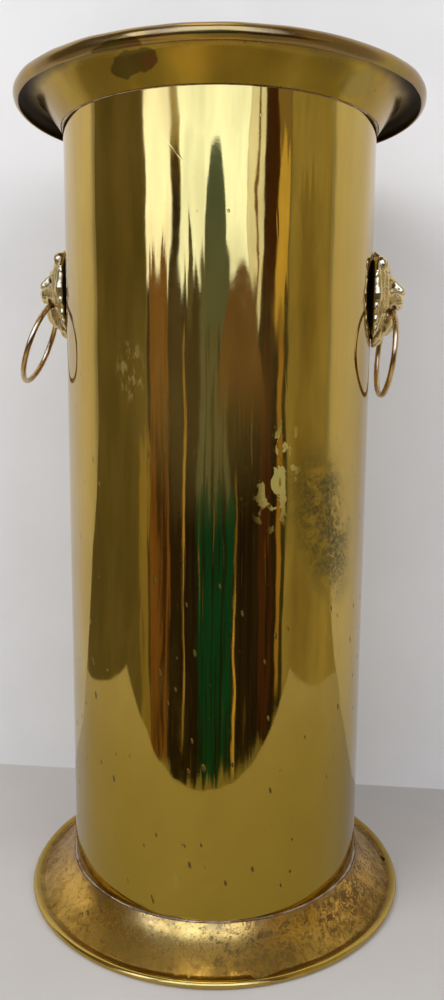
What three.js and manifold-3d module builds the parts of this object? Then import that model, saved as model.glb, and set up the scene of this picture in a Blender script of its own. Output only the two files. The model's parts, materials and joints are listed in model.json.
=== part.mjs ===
// Brass umbrella stand: a tube rolled from sheet, a spun collar with a turned-down brim, a flared
// foot with a wired edge, and two cast lion masks that each carry a loose pull ring.
// Millimetres, +Z up. The origin is on the floor at the middle of the foot, and the masks face +X and -X.

import * as THREE from "three";
import { mergeVertices } from "three/addons/utils/BufferGeometryUtils.js";
import Module from "manifold-3d";

const wasm = await Module();
wasm.setup();

// ---------- driving dimensions ----------

const FACETS = 48; // flats around every turned piece
const GAP = 0.3; // clearance between touching pieces
const SHEET = 1.0; // thickness of the brass sheet

const TUBE_RADIUS = 96; // outside of the rolled tube
const TUBE_FOOT = 5;
const TUBE_TOP = 491.5; // stands a little way up inside the collar
const SEAM_WIDTH = 8;
const SEAM_STEP = 0.8; // how far the lap stands proud at the back

const COLLAR_FOOT = 489.3;
const COLLAR_ANGLE = THREE.MathUtils.degToRad(37); // slope of the cone, from the vertical
const BRIM_CENTRE = new THREE.Vector2(119.9, 505);
const BRIM_ROLL = 4.7; // outside radius of the turned-down brim
const BRIM_LIP_ANGLE = THREE.MathUtils.degToRad(-61);

const FOOT_TOP = 22.3;
const BEAD_ROLL = 2.35; // outside radius of the wired edge
const BEAD_CENTRE_RADIUS = 122.95;
const BEAD_STEP = THREE.MathUtils.degToRad(30);
const BEAD_START = THREE.MathUtils.degToRad(225);
const BEAD_END = THREE.MathUtils.degToRad(505);

const PAN_HEIGHT = 6; // underside of the bottom pan
const PAN_EDGE = 15; // top of its turned-up edge

const MASK_BACK = TUBE_RADIUS + GAP;
const MASK_HEIGHT = { right: 391, left: 395 };
const MASK_THICKNESS = 3; // of the leaf-shaped plate behind the head

const RING_RADIUS = 26; // to the middle of the wire
const RING_WIRE = 1.75;
const RING_OFFSET = 12.2; // pivot in front of the mask's back
const RING_DROP = 8.5; // pivot below the mask's middle
const RING_LEAN = { right: -5, left: 21 }; // degrees outward from hanging straight down
const RING_YAW = { right: 7, left: 3.5 }; // degrees about +Z, from slack in the mouth

const SCREW_RADIUS = 2;
const SCREW_DEPTH = 6; // reach into the mask
const SCREW_HEIGHTS = [13, -19]; // from the mask's middle
const SCREW_HEAD_RADIUS = 3.6;
const SCREW_HEAD_HEIGHT = 2.4;
const SCREW_SLOT = new THREE.Vector2(1.0, 1.2);
const WASHER_RADIUS = 4.6;
const WASHER_THICKNESS = 0.8;

// ---------- materials ----------

const polishedBrass = { color: 0xb08d38, roughness: 0.14, metalness: 1 };
const satinBrass = { color: 0xac8a3c, roughness: 0.3, metalness: 1 };
const tarnishedBrass = { color: 0x9a7438, roughness: 0.45, metalness: 1 };
const castBrass = { color: 0xb1934f, roughness: 0.42, metalness: 1 };
const bronzeWire = { color: 0x9c6f3a, roughness: 0.28, metalness: 1 };
const softSolder = { color: 0xa79a90, roughness: 0.4, metalness: 1 };
const ironWire = { color: 0x5b5650, roughness: 0.6, metalness: 1 };

// ---------- shape tools ----------

const radians = THREE.MathUtils.degToRad;

function point(radius, height) {
  return new THREE.Vector2(radius, height);
}

function arc(centre, radius, from, to, steps) {
  return Array.from({ length: steps + 1 }, (_, i) => {
    const angle = from + ((to - from) * i) / steps;
    return point(centre.x + radius * Math.cos(angle), centre.y + radius * Math.sin(angle));
  });
}

// Turns a profile of (radius, height) points, given anticlockwise, about the Z axis.
// A flat, not an edge, faces each of the four main directions.
function turned(profile, facets = FACETS) {
  const geometry = new THREE.LatheGeometry(profile, facets, Math.PI / facets);
  return geometry.rotateX(Math.PI / 2);
}

function turnedLoop(profile, facets = FACETS) {
  return turned([...profile, profile[0]], facets);
}

function toSolid(geometry) {
  const bare = geometry.clone();
  bare.deleteAttribute("normal");
  bare.deleteAttribute("uv");
  const merged = mergeVertices(bare, 1e-4);
  return new wasm.Manifold(
    new wasm.Mesh({
      numProp: 3,
      vertProperties: new Float32Array(merged.attributes.position.array),
      triVerts: new Uint32Array(merged.index.array),
    }),
  );
}

function toGeometry(solid) {
  const mesh = solid.getMesh();
  const geometry = new THREE.BufferGeometry();
  geometry.setAttribute("position", new THREE.BufferAttribute(mesh.vertProperties, 3));
  geometry.setIndex(new THREE.BufferAttribute(mesh.triVerts, 1));
  geometry.computeVertexNormals();
  return geometry;
}

function joined(geometries) {
  return toGeometry(geometries.map(toSolid).reduce((sum, next) => sum.add(next)));
}

function cut(geometry, cutters) {
  return toGeometry(cutters.map(toSolid).reduce((rest, cutter) => rest.subtract(cutter), toSolid(geometry)));
}

// ---------- tube, collar, foot and pan ----------

const collarAlong = point(Math.sin(COLLAR_ANGLE), Math.cos(COLLAR_ANGLE));
const collarNormal = point(-Math.cos(COLLAR_ANGLE), Math.sin(COLLAR_ANGLE)); // into the bowl
const collarCorner = point(TUBE_RADIUS + GAP + SHEET, COLLAR_FOOT);

function tubeProfile() {
  return [
    point(TUBE_RADIUS, TUBE_FOOT),
    point(TUBE_RADIUS, TUBE_TOP),
    point(TUBE_RADIUS - SHEET, TUBE_TOP),
    point(TUBE_RADIUS - SHEET, TUBE_FOOT),
  ];
}

function screwHoles() {
  const reach = 2 * (SCREW_DEPTH + 1);
  return ["right", "left"].flatMap((side) =>
    SCREW_HEIGHTS.map((height) =>
      new THREE.CylinderGeometry(SCREW_RADIUS + GAP, SCREW_RADIUS + GAP, reach, 12)
        .rotateZ(Math.PI / 2)
        .translate((side === "right" ? 1 : -1) * TUBE_RADIUS, 0, MASK_HEIGHT[side] + height),
    ),
  );
}

function bodyShell() {
  const seamFoot = FOOT_TOP + 2;
  const seamTop = COLLAR_FOOT - 2;
  const seam = new THREE.BoxGeometry(SEAM_WIDTH, SHEET + SEAM_STEP / 2, seamTop - seamFoot).translate(
    0,
    TUBE_RADIUS + SEAM_STEP / 2 - SHEET / 2,
    (seamTop + seamFoot) / 2,
  );
  return cut(joined([turnedLoop(tubeProfile()), seam]), screwHoles());
}

// The underside of the cone bends out into the brim, which rolls over and down to an open lip.
function topCollar() {
  const inside = BRIM_ROLL - SHEET;
  const across = BRIM_CENTRE.x - collarCorner.x;
  const rise = BRIM_CENTRE.y + inside - collarCorner.y;
  const bendRadius = (across * collarAlong.y - rise * collarAlong.x) / (1 - collarAlong.x);
  const bendCentre = point(BRIM_CENTRE.x, BRIM_CENTRE.y + inside - bendRadius);
  const bendStart = Math.PI - COLLAR_ANGLE;
  return turnedLoop([
    collarCorner,
    ...arc(bendCentre, bendRadius, bendStart, Math.PI / 2, 3),
    ...arc(BRIM_CENTRE, inside, Math.PI / 2, BRIM_LIP_ANGLE, 5).slice(1),
    ...arc(BRIM_CENTRE, BRIM_ROLL, BRIM_LIP_ANGLE, Math.PI / 2, 5),
    ...arc(bendCentre, bendRadius + SHEET, Math.PI / 2, bendStart, 3).slice(1),
    collarCorner.clone().addScaledVector(collarNormal, SHEET),
  ]);
}

// Two points of the bead sit level with each other at its lowest, so it rests on a flat ring.
const beadCentre = point(BEAD_CENTRE_RADIUS, BEAD_ROLL * Math.cos(BEAD_STEP / 2));

// The sheet leaves the tube steeply, sweeps outward, and curls out and up around the rim wire.
function baseFlange() {
  const inside = BEAD_ROLL - SHEET;
  const start = point(TUBE_RADIUS + GAP + SHEET, FOOT_TOP);
  const end = arc(beadCentre, inside, BEAD_START, BEAD_END, 1)[0];
  const sweep = new THREE.CubicBezierCurve(start, point(97.6, 16.5), point(end.x - 8.5, end.y + 8.5), end);
  const stations = [0, 0.15, 0.3, 0.45, 0.65, 0.85];
  const face = stations.map((t) => sweep.getPoint(t));
  const under = stations.map((t) => {
    const along = sweep.getTangent(t);
    return sweep.getPoint(t).add(point(along.y, -along.x).multiplyScalar(SHEET));
  });
  under[0].set(TUBE_RADIUS + GAP, FOOT_TOP);
  const floorEnd = BEAD_START + 2 * BEAD_STEP;
  return turnedLoop([
    ...under,
    ...arc(beadCentre, BEAD_ROLL, BEAD_START, floorEnd, 2),
    ...arc(beadCentre, BEAD_ROLL, floorEnd, BEAD_END, 5).slice(1),
    ...arc(beadCentre, inside, BEAD_END, BEAD_START, 6),
    ...face.reverse(),
  ]);
}

function rimWire() {
  const radius = BEAD_ROLL - SHEET - GAP;
  return turnedLoop(arc(beadCentre, radius, 0, 2 * Math.PI, 6).slice(0, 6));
}

function bottomPan() {
  const edge = TUBE_RADIUS - SHEET - GAP;
  const bend = 3;
  return turned([
    point(0, PAN_HEIGHT),
    point(edge - bend, PAN_HEIGHT),
    point(edge, PAN_HEIGHT + bend),
    point(edge, PAN_EDGE),
    point(edge - SHEET, PAN_EDGE),
    point(edge - SHEET, PAN_HEIGHT + bend + SHEET / 2),
    point(edge - bend - SHEET / 2, PAN_HEIGHT + SHEET),
    point(0, PAN_HEIGHT + SHEET),
  ]);
}

// A solder fillet in the corner between a wall and an edge; side is 1 outside the wall and -1 inside it.
function fillet(wallRadius, height, side, rise) {
  const wall = wallRadius + side * GAP;
  const corners = [point(wall, height), point(wall + side * SHEET * 0.9, height), point(wall, height + rise)];
  return turnedLoop(side * rise > 0 ? corners : corners.reverse());
}

// ---------- lion masks ----------
// In a mask's own frame X points out of the wall, Y across the face and Z up.

function lump(at, size, slope = 0) {
  return new THREE.SphereGeometry(1, 8, 5)
    .rotateX(Math.PI / 2)
    .scale(...size)
    .rotateY(radians(slope))
    .translate(...at);
}

function pair([x, y, z], size) {
  return [lump([x, y, z], size), lump([x, -y, z], size)];
}

function leafPlate() {
  const half = new THREE.SplineCurve([
    point(0, -29),
    point(8, -25),
    point(14.5, -14),
    point(17.5, -2),
    point(15.5, 12),
    point(8, 22),
    point(0, 27.5),
  ]).getPoints(10);
  const mirrored = half.slice(1, -1).reverse().map((p) => point(-p.x, p.y));
  const plate = new THREE.ExtrudeGeometry(new THREE.Shape([...half, ...mirrored]), {
    depth: MASK_THICKNESS,
    bevelEnabled: false,
  });
  // The outline's Y becomes up and the thickness points out of the wall.
  return plate.applyMatrix4(
    new THREE.Matrix4().makeBasis(
      new THREE.Vector3(0, 1, 0),
      new THREE.Vector3(0, 0, 1),
      new THREE.Vector3(1, 0, 0),
    ),
  );
}

// The passage from one corner of the mouth to the other, flared so that the ring can swing.
function mouthPassage() {
  const flare = [
    [-13, 6.8],
    [-9, 4.7],
    [-5, 3.3],
    [0, 2.6],
    [5, 3.3],
    [9, 4.7],
    [13, 6.8],
  ].map(([across, radius]) => point(radius, across));
  const profile = [point(0, -13), ...flare, point(0, 13)];
  return new THREE.LatheGeometry(profile, 12).scale(1.12, 1, 1).translate(RING_OFFSET, 0, -RING_DROP);
}

function lionMask() {
  const head = [
    lump([1.5, 0, 3], [10, 14.5, 18]), // skull
    lump([5, 0, 14.5], [6.3, 6, 4.3]), // forelock
    lump([1.5, 0, 23], [3.6, 4.5, 5.2]), // crest
    ...pair([3.5, 9.5, 20], [4.2, 4.2, 4.6]), // ears
    ...pair([7.5, 5.5, 10], [4.5, 5.5, 3]), // brows
    lump([11, 0, 6.5], [9.5, 4.2, 4.4], 33), // bridge of the nose
    lump([16.6, 0, 3.2], [3.9, 4.4, 3.4]), // nose
    ...pair([12.3, 4, -3.5], [7.3, 5, 6]), // muzzle
    lump([13, 0, -7.5], [5, 4.5, 4.5]), // lip
    ...pair([4.5, 10, -2], [6.5, 6.5, 8]), // cheeks
    ...pair([2, 14.5, 1], [3.8, 4.5, 6.5]), // side mane
    lump([10, 0, -16], [6, 6.2, 6.5]), // chin
    lump([3.5, 0, -24], [4.5, 7.5, 6.3]), // beard
    ...pair([2.5, 9.5, -15], [4, 5.5, 8]), // lower mane
  ];
  const behind = new THREE.BoxGeometry(20, 60, 80).translate(-10, 0, 0);
  const tapped = SCREW_HEIGHTS.map((height) =>
    new THREE.CylinderGeometry(SCREW_RADIUS + GAP, SCREW_RADIUS + GAP, 2 * (SCREW_DEPTH + 1), 12)
      .rotateZ(Math.PI / 2)
      .translate(0, 0, height),
  );
  return cut(joined([leafPlate(), ...head]), [behind, mouthPassage(), ...tapped]);
}

// ---------- pull rings and fasteners ----------

// The ring hangs below its own origin, which is the middle of the wire at the top.
function pullRing() {
  return new THREE.TorusGeometry(RING_RADIUS, RING_WIRE, 8, 36).rotateY(Math.PI / 2).translate(0, 0, -RING_RADIUS);
}

// Screws and washers are turned about Z, head down, then laid along the wall's outward direction.
function maskScrew() {
  const reach = SCREW_DEPTH + 2 * SHEET + WASHER_THICKNESS;
  const screw = turned(
    [
      point(0, 0),
      point(SCREW_HEAD_RADIUS - 0.4, 0),
      point(SCREW_HEAD_RADIUS, 0.4),
      point(SCREW_HEAD_RADIUS, SCREW_HEAD_HEIGHT),
      point(SCREW_RADIUS, SCREW_HEAD_HEIGHT),
      point(SCREW_RADIUS, SCREW_HEAD_HEIGHT + reach - 0.6),
      point(SCREW_RADIUS - 0.6, SCREW_HEAD_HEIGHT + reach),
      point(0, SCREW_HEAD_HEIGHT + reach),
    ],
    12,
  );
  const slot = new THREE.BoxGeometry(2 * WASHER_RADIUS, SCREW_SLOT.x, 2 * SCREW_SLOT.y);
  return cut(screw, [slot]).rotateY(Math.PI / 2);
}

function maskWasher() {
  const hole = SCREW_RADIUS + GAP;
  return turnedLoop(
    [
      point(hole, 0),
      point(WASHER_RADIUS, 0),
      point(WASHER_RADIUS, WASHER_THICKNESS),
      point(hole, WASHER_THICKNESS),
    ],
    16,
  ).rotateY(Math.PI / 2);
}

// ---------- assembly ----------

const stand = new THREE.Group();

function addPiece(parent, name, geometry, finish) {
  const mesh = new THREE.Mesh(geometry, new THREE.MeshStandardMaterial(finish));
  mesh.name = name;
  parent.add(mesh);
  return mesh;
}

addPiece(stand, "body_shell", bodyShell(), polishedBrass);
addPiece(stand, "top_collar", topCollar(), satinBrass);
addPiece(stand, "base_flange", baseFlange(), tarnishedBrass);
addPiece(stand, "base_rim_wire", rimWire(), ironWire);
addPiece(stand, "bottom_pan", bottomPan(), satinBrass);
addPiece(stand, "collar_solder", fillet(TUBE_RADIUS, COLLAR_FOOT - GAP, 1, -1.1), softSolder);
addPiece(stand, "base_solder", fillet(TUBE_RADIUS, FOOT_TOP + GAP, 1, 1.1), softSolder);
addPiece(stand, "pan_solder", fillet(TUBE_RADIUS - SHEET, PAN_EDGE + GAP, -1, 1.3), softSolder);

// A handle is built facing +X and the left one is turned half a turn about the stand's axis.
function addHandle(side, turn) {
  const handle = new THREE.Group();
  handle.rotation.z = turn;
  handle.position.z = MASK_HEIGHT[side];
  stand.add(handle);

  addPiece(handle, `${side}_lion_mask`, lionMask(), castBrass).position.x = MASK_BACK;

  const ring = addPiece(handle, `${side}_pull_ring`, pullRing(), bronzeWire);
  ring.position.set(MASK_BACK + RING_OFFSET, 0, -RING_DROP);
  ring.rotation.set(0, -radians(RING_LEAN[side]), radians(RING_YAW[side]), "ZYX");

  const wallInside = TUBE_RADIUS - SHEET - 0.5;
  SCREW_HEIGHTS.forEach((height, i) => {
    const place = `${side}_${["upper", "lower"][i]}`;
    const washerBack = wallInside - WASHER_THICKNESS;
    addPiece(handle, `${place}_washer`, maskWasher(), satinBrass).position.set(washerBack, 0, height);
    const screwBack = washerBack - GAP - SCREW_HEAD_HEIGHT;
    addPiece(handle, `${place}_screw`, maskScrew(), satinBrass).position.set(screwBack, 0, height);
  });
}

addHandle("right", 0);
addHandle("left", Math.PI);

export default stand;
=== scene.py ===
import json
import math

import bmesh
import bpy
import numpy as np
from mathutils import Matrix, Vector


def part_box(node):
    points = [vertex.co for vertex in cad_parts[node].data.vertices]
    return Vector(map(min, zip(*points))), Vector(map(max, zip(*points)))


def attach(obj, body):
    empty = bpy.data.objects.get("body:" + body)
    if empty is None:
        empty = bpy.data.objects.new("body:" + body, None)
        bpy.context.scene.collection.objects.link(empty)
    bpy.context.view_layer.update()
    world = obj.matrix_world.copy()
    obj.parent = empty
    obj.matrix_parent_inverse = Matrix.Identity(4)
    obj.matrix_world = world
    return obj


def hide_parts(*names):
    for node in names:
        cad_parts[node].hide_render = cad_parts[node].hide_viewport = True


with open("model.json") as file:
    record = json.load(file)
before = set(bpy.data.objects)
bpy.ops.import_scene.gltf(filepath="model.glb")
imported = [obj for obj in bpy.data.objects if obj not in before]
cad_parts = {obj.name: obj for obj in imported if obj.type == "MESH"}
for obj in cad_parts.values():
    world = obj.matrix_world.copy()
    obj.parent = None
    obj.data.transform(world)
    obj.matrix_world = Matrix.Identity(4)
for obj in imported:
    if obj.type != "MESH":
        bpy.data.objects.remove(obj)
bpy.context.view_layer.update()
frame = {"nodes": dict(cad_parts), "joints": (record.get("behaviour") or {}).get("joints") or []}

# Brass umbrella stand: polished tube, spun collar, wired foot, and two lion masks with pull rings.
# Shapes are worked out in millimetres, in the CAD model's frame, and made in metres.

MM = 0.001
CORNER_ANGLE = 40  # degrees; a sharper edge is a real corner

# ---------- dimensions shared with the CAD model, mm ----------

TUBE_RADIUS = 96.0
SHEET = 1.0
GAP = 0.3
TUBE_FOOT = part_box("body_shell")[0].z / MM
TUBE_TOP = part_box("body_shell")[1].z / MM
COLLAR_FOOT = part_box("top_collar")[0].z / MM
BRIM_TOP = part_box("top_collar")[1].z / MM
FOOT_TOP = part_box("base_flange")[1].z / MM
PAN_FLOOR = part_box("bottom_pan")[0].z / MM
PAN_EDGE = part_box("bottom_pan")[1].z / MM

COLLAR_ANGLE = math.radians(37)
BRIM_ROLL = 4.7
BRIM_CENTRE = (119.9, BRIM_TOP - BRIM_ROLL)
BRIM_LIP_ANGLE = math.radians(-61)
BEAD_ROLL = 2.35
BEAD_CENTRE = (122.95, 2.27)
BEAD_BEGIN = 225  # degrees round the bead, where the sheet passes under the wire
FACE_STEPS = 56  # along the foot's face, from the tube to the bead
TOUCH_STEP = 48  # where the edge is dressed shut, its tip touches the face here

RING_RADIUS = 26.0
RING_WIRE = 1.75
SCREW_HEAD_RADIUS = 3.6
SCREW_HEAD_HEIGHT = 2.4
SCREW_RADIUS = 2.0
SLOT_DEPTH = 1.2
SLOT_WIDTH = 1.0
THREAD_PITCH = 0.7
THREAD_DEPTH = 0.28
WASHER_RADIUS = 4.6
WASHER_THICKNESS = 0.8

SIDES = {"right": 0.0, "left": math.pi}  # how far each side's mask is turned about Z
JOINTS = {joint["name"]: joint for joint in frame["joints"]}

# Patches on the collar, painted reflections of dark things in the room and stains: place, width and height
# in mm, colour
REFLECTIONS_AND_STAINS = [
    ((-18, 499), 32, 14, (0.1, 0.066, 0.016)),
    ((-14, 499), 11, 8, (0.2, 0.075, 0.025)),
    ((52, 498), 30, 16, (0.33, 0.23, 0.05)),
    ((150, 500), 26, 10, (0.25, 0.16, 0.04)),
]
# A painted warm reflection, a coppery glow on the collar's front: place as for the patches above
PAINTED_GLOW_AT = (2, 500)

# Marks on the tube: (angle in degrees from the front, -Y, towards +X; height in mm)
TARNISH_AT = (48, 257)
DRIPS_AT = (27, 288)
SCUFFS_AT = (-24, 345)
HAZE_AT = (2, 345)
# Dents: angle and height as above, width and depth in mm
DENTS = [
    (2, 60, 9, 0.9),
    (4, 46, 8, 0.8),
    (-3, 68, 7, 0.5),
    (20, 74, 14, 0.3),
    (-38, 128, 16, 0.3),
    (52, 150, 18, 0.35),
]


# ---------- mesh tools ----------


def new_mesh(name, vertices, faces):
    """A mesh in metres from vertices in mm."""
    mesh = bpy.data.meshes.new(name)
    mesh.from_pydata((np.asarray(vertices, float) * MM).tolist(), [], np.asarray(faces).tolist())
    return mesh


def new_object(name, data):
    made = bpy.data.objects.new(name, data)
    bpy.context.scene.collection.objects.link(made)
    return made


def declare(piece, body, node):
    """Says which body a piece rides on, and hides the CAD node it stands for."""
    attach(piece, body)
    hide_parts(node)


def make_piece(name, vertices, faces, body, node, material):
    mesh = new_mesh(name, vertices, faces)
    mesh.validate()
    piece = new_object(name, mesh)
    finish_mesh(piece)
    mesh.materials.append(material)
    declare(piece, body, node)
    return piece


def shade_points(mesh, name, values):
    """Stores a number at each point, for the material to read."""
    stored = mesh.attributes.new(name, "FLOAT", "POINT")
    stored.data.foreach_set("value", np.asarray(values, np.float32))


def finish_mesh(piece):
    """Merges coincident points, turns the faces out and marks real corners sharp."""
    work = bmesh.new()
    work.from_mesh(piece.data)
    bmesh.ops.remove_doubles(work, verts=work.verts, dist=1e-7)
    bmesh.ops.recalc_face_normals(work, faces=work.faces)
    limit = math.radians(CORNER_ANGLE)
    for edge in work.edges:
        edge.smooth = len(edge.link_faces) != 2 or edge.calc_face_angle(0.0) < limit
    for face in work.faces:
        face.smooth = True
    work.to_mesh(piece.data)
    work.free()


def quads(rows, columns):
    """The faces of a grid of points that closes on itself both ways."""
    index = np.arange(rows * columns).reshape(rows, columns)
    ahead = np.roll(index, -1, axis=0)
    faces = np.stack([index, ahead, np.roll(ahead, -1, axis=1), np.roll(index, -1, axis=1)], axis=-1)
    return faces.reshape(-1, 4)


def turn(profile, turns, warp=None):
    """Turns a closed (radius, height) outline about Z. warp moves the points before they are placed."""
    profile = np.asarray(profile, float)
    count = len(profile)
    angle = np.linspace(0, 2 * np.pi, turns, endpoint=False)
    angles = np.repeat(angle, count)
    radius = np.tile(profile[:, 0], turns)
    height = np.tile(profile[:, 1], turns)
    if warp:
        radius, height = warp(radius, height, angles)
    points = np.stack([radius * np.sin(angles), -radius * np.cos(angles), height], axis=1)
    return points, quads(turns, count)


def arc(centre, radius, start, end, steps):
    angle = np.linspace(start, end, steps + 1)
    return np.stack([centre[0] + radius * np.cos(angle), centre[1] + radius * np.sin(angle)], axis=1)


def line(start, end, steps):
    t = np.linspace(0, 1, steps + 1)[:, None]
    return (1 - t) * np.asarray(start, float) + t * np.asarray(end, float)


def bezier(points, t):
    a, b, c, d = (np.asarray(p, float) for p in points)
    t = np.asarray(t, float)[:, None]
    return (1 - t) ** 3 * a + 3 * t * (1 - t) ** 2 * b + 3 * t * t * (1 - t) * c + t**3 * d


def bezier_slope(points, t):
    a, b, c, d = (np.asarray(p, float) for p in points)
    t = np.asarray(t, float)[:, None]
    slope = 3 * (1 - t) ** 2 * (b - a) + 6 * t * (1 - t) * (c - b) + 3 * t * t * (d - c)
    return slope / np.linalg.norm(slope, axis=1, keepdims=True)


def ripple(seed, angles, heights, around, up, waves):
    """Smooth unevenness between about -1 and 1, from a few seeded waves that close around the tube."""
    dice = np.random.default_rng(seed)
    total = np.zeros_like(angles)
    weight = 0
    for _ in range(waves):
        turns_around = dice.integers(around[0], around[1] + 1)
        pitch = dice.uniform(*up)
        phase, skew = dice.uniform(0, 2 * np.pi, 2)
        lean = dice.uniform(-1, 1)
        strength = dice.uniform(0.5, 1)
        slant = lean * np.sin(2 * np.pi * heights / pitch + skew)
        total += strength * np.sin(turns_around * angles + phase + slant)
        weight += strength**2
    return total / math.sqrt(weight)


# ---------- materials ----------


class Nodes:
    """A short way to write a node tree: every call adds a node and returns its output."""

    def __init__(self, name):
        self.material = bpy.data.materials.new(name)
        self.material.use_nodes = True
        self.tree = self.material.node_tree
        self.shader = self.tree.nodes["Principled BSDF"]
        self.object_place = self.add("ShaderNodeTexCoord").outputs["Object"]
        split = self.add("ShaderNodeSeparateXYZ", {0: self.object_place})
        self.x, self.y, self.z = split.outputs

    def add(self, kind, inputs=None, **settings):
        node = self.tree.nodes.new(kind)
        for key, value in settings.items():
            setattr(node, key, value)
        for key, value in (inputs or {}).items():
            self.feed(node.inputs[key], value)
        return node

    def feed(self, socket, value):
        if isinstance(value, bpy.types.NodeSocket):
            self.tree.links.new(value, socket)
        else:
            socket.default_value = value

    def math(self, operation, a, b=0.0):
        return self.add("ShaderNodeMath", {0: a, 1: b}, operation=operation).outputs[0]

    def plus(self, a, b):
        return self.math("ADD", a, b)

    def minus(self, a, b):
        return self.math("SUBTRACT", a, b)

    def times(self, a, b):
        return self.math("MULTIPLY", a, b)

    def most(self, a, b):
        return self.math("MAXIMUM", a, b)

    def distance(self, a, b):
        return self.math("SQRT", self.plus(self.times(a, a), self.times(b, b)))

    def uneven(self, texture, amount):
        """A noise moved to lie around zero, and scaled."""
        return self.times(self.minus(texture, 0.5), amount)

    def band(self, value, low, high, from_value=0.0, to_value=1.0):
        """Rises smoothly from from_value to to_value as value goes from low to high."""
        node = self.add(
            "ShaderNodeMapRange",
            {"Value": value, "From Min": low, "From Max": high, "To Min": from_value, "To Max": to_value},
            interpolation_type="SMOOTHSTEP",
        )
        return node.outputs["Result"]

    def place(self, x, y, z):
        return self.add("ShaderNodeCombineXYZ", {0: x, 1: y, 2: z}).outputs[0]

    def stretched(self, scale):
        return self.add("ShaderNodeMapping", {"Vector": self.object_place, "Scale": scale}).outputs[0]

    def noise(self, scale, detail=4.0, roughness=0.55, vector=None, distortion=0.0):
        node = self.add(
            "ShaderNodeTexNoise",
            {
                "Vector": vector or self.object_place,
                "Scale": scale,
                "Detail": detail,
                "Roughness": roughness,
                "Distortion": distortion,
            },
        )
        return node.outputs["Fac"]

    def cells(self, scale, vector=None):
        return self.add("ShaderNodeTexVoronoi", {"Vector": vector or self.object_place, "Scale": scale})

    def blend(self, amount, first, second):
        node = self.add("ShaderNodeMix", {0: amount, 6: first, 7: second}, data_type="RGBA")
        return node.outputs[2]

    def blend_value(self, amount, first, second):
        node = self.add("ShaderNodeMix", {0: amount, 2: first, 3: second}, data_type="FLOAT")
        return node.outputs[0]

    def bump(self, height, distance, strength=1.0, normal=None):
        inputs = {"Height": height, "Distance": distance, "Strength": strength}
        if normal is not None:
            inputs["Normal"] = normal
        return self.add("ShaderNodeBump", inputs).outputs[0]

    def around(self):
        """Distance around the tube from the front, in metres, positive towards +X."""
        angle = self.math("ARCTAN2", self.x, self.times(self.y, -1.0))
        return self.times(angle, TUBE_RADIUS * MM)

    def spot(self, around, at, width, height, lean=0.0):
        """1 in the middle of an oval on the tube and 0 outside it; sizes in mm, lean in degrees."""
        angle, middle = at
        across = self.minus(around, math.radians(angle) * TUBE_RADIUS * MM)
        up = self.minus(self.z, middle * MM)
        cos, sin = math.cos(math.radians(lean)), math.sin(math.radians(lean))
        u = self.plus(self.times(across, cos), self.times(up, sin))
        v = self.minus(self.times(up, cos), self.times(across, sin))
        u = self.math("DIVIDE", u, width * MM / 2)
        v = self.math("DIVIDE", v, height * MM / 2)
        reach = self.plus(self.times(u, u), self.times(v, v))
        return self.band(reach, 0.0, 1.0, 1.0, 0.0)

    def finish(self, colour, roughness, metallic=1.0, normal=None):
        self.feed(self.shader.inputs["Base Color"], colour)
        self.feed(self.shader.inputs["Roughness"], roughness)
        self.feed(self.shader.inputs["Metallic"], metallic)
        if normal is not None:
            self.feed(self.shader.inputs["Normal"], normal)
        return self.material


def rgb(red, green, blue):
    return (red, green, blue, 1.0)


BRASS = rgb(0.52, 0.355, 0.078)
BRASS_DEEP = rgb(0.45, 0.295, 0.06)
BRASS_PALE = rgb(0.62, 0.47, 0.19)
OXIDE = rgb(0.16, 0.085, 0.03)
VERDIGRIS = rgb(0.12, 0.17, 0.07)


def scratches(n, around, scale, seed):
    """Thin straight hairlines at a few slants, 1 on a line."""
    lines = None
    for i, lean in enumerate((0.12, -0.3, 0.8)):
        across = n.plus(around, n.times(n.z, lean))
        vector = n.place(n.times(across, 9.0), seed + i * 3.7, n.times(n.z, 0.55))
        wave = n.noise(scale, 2.0, 0.6, vector)
        hair = n.band(n.math("ABSOLUTE", n.minus(wave, 0.5)), 0.0, 0.002, 1.0, 0.0)
        gate = n.band(n.noise(18.0, 2.0, 0.5, n.place(across, seed + i, n.z)), 0.58, 0.7)
        hair = n.times(hair, gate)
        lines = hair if lines is None else n.most(lines, hair)
    return lines


def pits(n, scale, size, threshold, vector=None):
    """Scattered round specks, 1 in the middle of each; threshold thins them out."""
    cell = n.cells(scale, vector)
    lot = n.add("ShaderNodeSeparateColor", {0: cell.outputs["Color"]}).outputs[0]
    keep = n.band(lot, threshold, threshold + 0.01)
    return n.times(n.band(cell.outputs["Distance"], size * 0.45, size, 1.0, 0.0), keep)


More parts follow.
